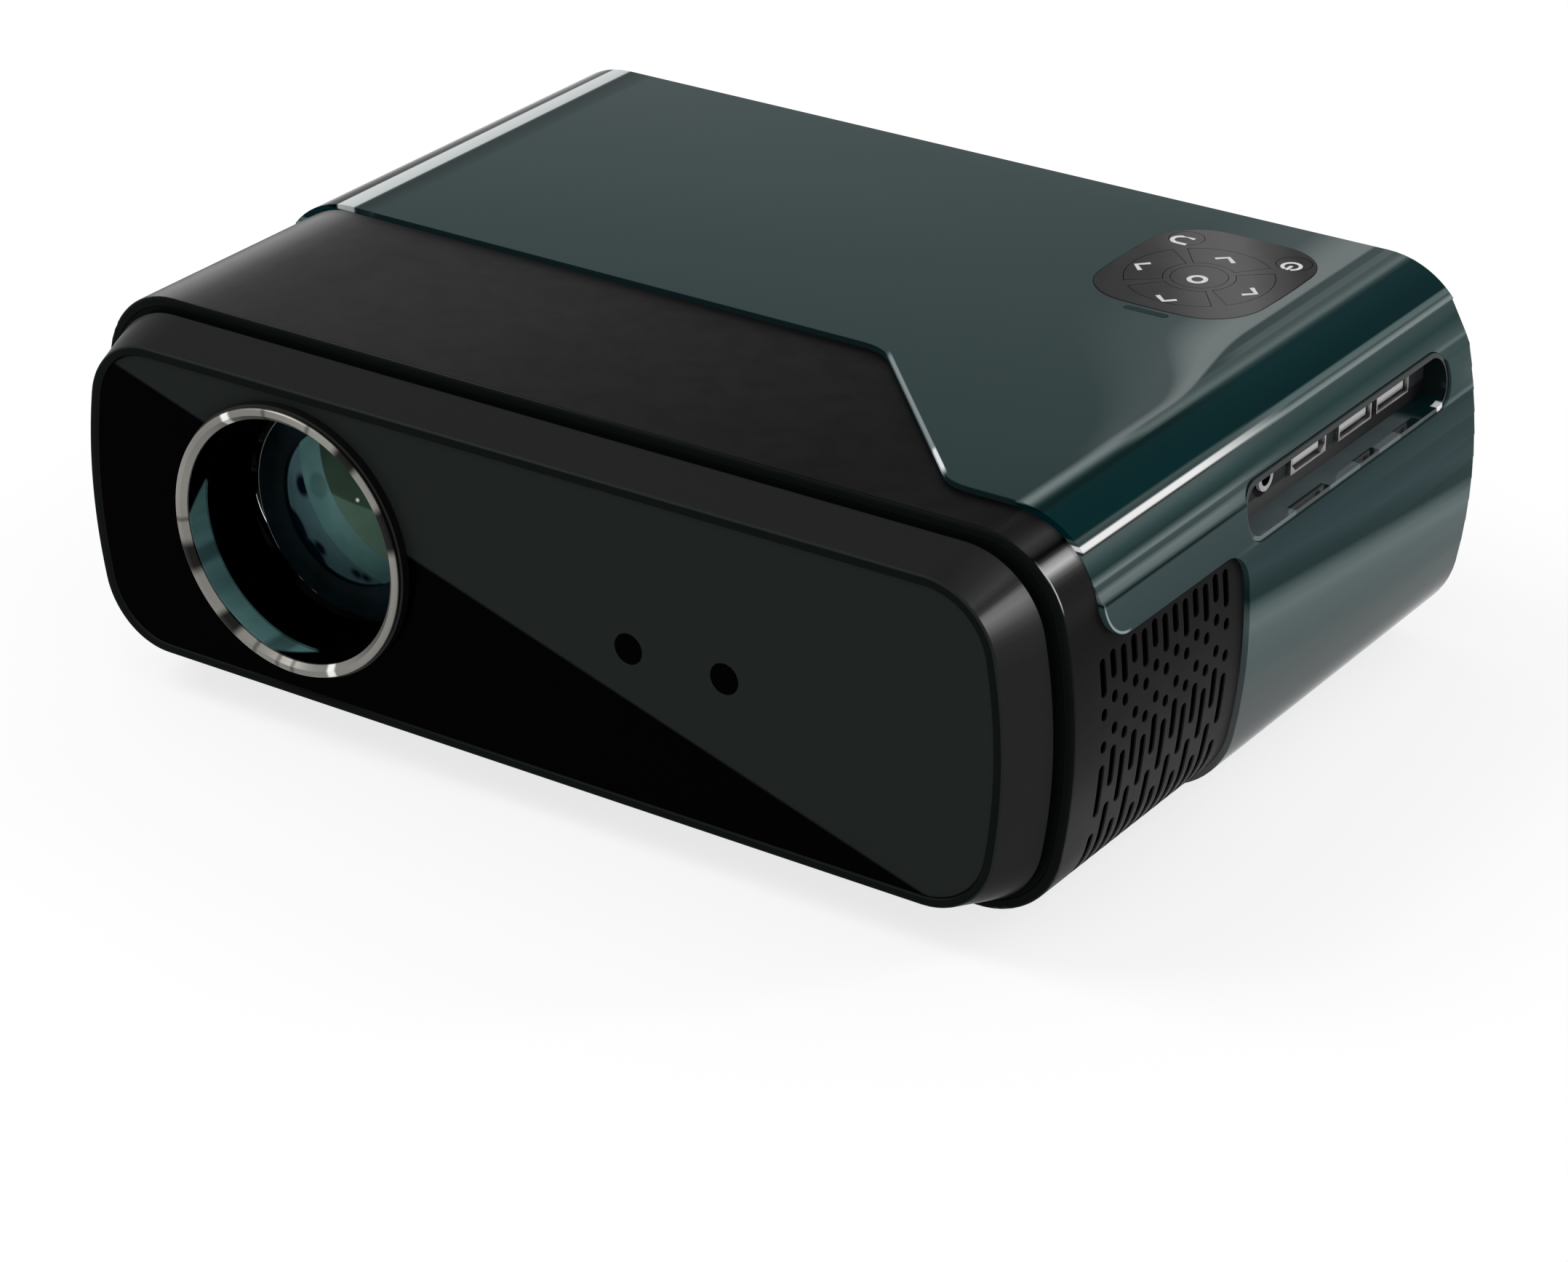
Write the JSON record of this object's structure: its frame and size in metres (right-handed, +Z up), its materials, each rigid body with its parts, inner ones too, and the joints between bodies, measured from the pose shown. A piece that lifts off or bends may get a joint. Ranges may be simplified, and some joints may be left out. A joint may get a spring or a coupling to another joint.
{
  "type": "mini projector",
  "caption": "Desktop video projector: recessed focusing lens in a flared front bezel, stepped wrap-around cover, side grilles and port bay, sprung keypad, tilt foot and spinning fans.",
  "frame": {"origin": "centre of the bounding box's base, on the surface that the rubber feet stand on", "axes": "+X to the right seen from the front, -Y out of the lens, +Z up"},
  "size_m": [0.2528, 0.183, 0.09],
  "materials": {
    "cover_teal": "gloss",
    "shell_black": "satin",
    "bezel_black": "satin gloss",
    "panel_black": "gloss",
    "ring_chrome": "polished",
    "hood_gloss": "gloss",
    "window_black": "gloss",
    "optical_glass": "coated",
    "barrel_black": "satin",
    "key_black": "satin",
    "fascia_black": "satin gloss",
    "board_green": "satin",
    "socket_metal": "brushed",
    "jack_black": "satin",
    "rubber_black": "matte",
    "insert_brass": "machined",
    "screw_steel": "machined",
    "engine_grey": "matte",
    "sink_aluminium": "extruded",
    "mirror_face": "front-silvered",
    "filter_foam": "open foam",
    "motor_steel": "drawn",
    "lamp_ceramic": "plain",
    "pinion_white": "satin"
  },
  "bodies": {
    "case": {"front_bezel": "bezel_black", "front_panel": "panel_black", "lens_ring": "ring_chrome", "lens_hood": "hood_gloss", "receiver_window": "window_black", "camera_window": "window_black", "sensor_board": "board_green", "lens_tube": "engine_grey", "focus_motor": "motor_steel", "body_shell": "shell_black", "outer_cover": "cover_teal", "bottom_plate": "shell_black", "case_screws": "screw_steel", "rubber_feet": "rubber_black", "tripod_insert": "insert_brass", "rear_panel": "shell_black", "power_inlet": "jack_black", "port_bay": "cover_teal", "port_plate": "jack_black", "hdmi_socket": "socket_metal", "usb_socket_front": "socket_metal", "usb_socket_rear": "socket_metal", "audio_jack": "jack_black", "keypad_fascia": "fascia_black", "key_board": "board_green", "status_window": "window_black", "engine_base": "engine_grey", "engine_lid": "engine_grey", "fresnel_out": "optical_glass", "lcd_panel": "optical_glass", "fresnel_in": "optical_glass", "heat_glass": "optical_glass", "condenser_lens": "optical_glass", "fold_mirror": "mirror_face", "led_module": "lamp_ceramic", "heatsink": "sink_aluminium", "intake_fan_frame": "jack_black", "exhaust_fan_frame": "jack_black", "dust_filter": "filter_foam", "main_board": "board_green", "power_board": "board_green", "left_speaker": "jack_black", "right_speaker": "jack_black", "wireless_antenna": "board_green"},
    "ok_key": {"key_ok": "key_black"},
    "up_key": {"key_up": "key_black"},
    "down_key": {"key_down": "key_black"},
    "left_key": {"key_left": "key_black"},
    "right_key": {"key_right": "key_black"},
    "back_key": {"key_back": "key_black"},
    "power_key": {"key_power": "key_black"},
    "intake_rotor": {"intake_fan_rotor": "jack_black"},
    "exhaust_rotor": {"exhaust_fan_rotor": "jack_black"},
    "barrel": {"focus_barrel": "barrel_black", "front_glass": "optical_glass", "middle_glass": "optical_glass", "rear_glass": "optical_glass"},
    "pinion": {"focus_pinion": "pinion_white"},
    "tilt": {"tilt_foot": "jack_black"}
  },
  "joints": [
    {"name": "ok_press", "type": "slide", "parent": "case", "child": "ok_key", "axis": [0, 0, -1], "range_m": [0, 0.0005], "stiffness_N_per_m": 1500, "springref_m": -0.0003},
    {"name": "up_press", "type": "slide", "parent": "case", "child": "up_key", "axis": [0, 0, -1], "range_m": [0, 0.0005], "stiffness_N_per_m": 1500, "springref_m": -0.0003},
    {"name": "down_press", "type": "slide", "parent": "case", "child": "down_key", "axis": [0, 0, -1], "range_m": [0, 0.0005], "stiffness_N_per_m": 1500, "springref_m": -0.0003},
    {"name": "left_press", "type": "slide", "parent": "case", "child": "left_key", "axis": [0, 0, -1], "range_m": [0, 0.0005], "stiffness_N_per_m": 1500, "springref_m": -0.0003},
    {"name": "right_press", "type": "slide", "parent": "case", "child": "right_key", "axis": [0, 0, -1], "range_m": [0, 0.0005], "stiffness_N_per_m": 1500, "springref_m": -0.0003},
    {"name": "back_press", "type": "slide", "parent": "case", "child": "back_key", "axis": [0, 0, -1], "range_m": [0, 0.0005], "stiffness_N_per_m": 1500, "springref_m": -0.0003},
    {"name": "power_press", "type": "slide", "parent": "case", "child": "power_key", "axis": [0, 0, -1], "range_m": [0, 0.0005], "stiffness_N_per_m": 1500, "springref_m": -0.0003},
    {"name": "intake_spin", "type": "hinge", "parent": "case", "child": "intake_rotor", "pos_m": [0.106, -0.039, 0.039], "axis": [1, 0, 0], "continuous": true},
    {"name": "exhaust_spin", "type": "hinge", "parent": "case", "child": "exhaust_rotor", "pos_m": [0.077, 0.08, 0.039], "axis": [0, 1, 0], "continuous": true},
    {"name": "focus_slide", "type": "slide", "parent": "case", "child": "barrel", "axis": [0, -1, 0], "range_m": [-0.003, 0.003]},
    {"name": "pinion_spin", "type": "hinge", "parent": "case", "child": "pinion", "pos_m": [-0.0251, -0.045, 0.0479], "axis": [0, 0, 1], "range_deg": [-44, 44]},
    {"name": "tilt_extend", "type": "slide", "parent": "case", "child": "tilt", "axis": [0, 0, -1], "range_m": [0, 0.01]}
  ],
  "couplings": [
    {"joint": "pinion_spin", "follows": "focus_slide", "rad_per_m": 250}
  ]
}
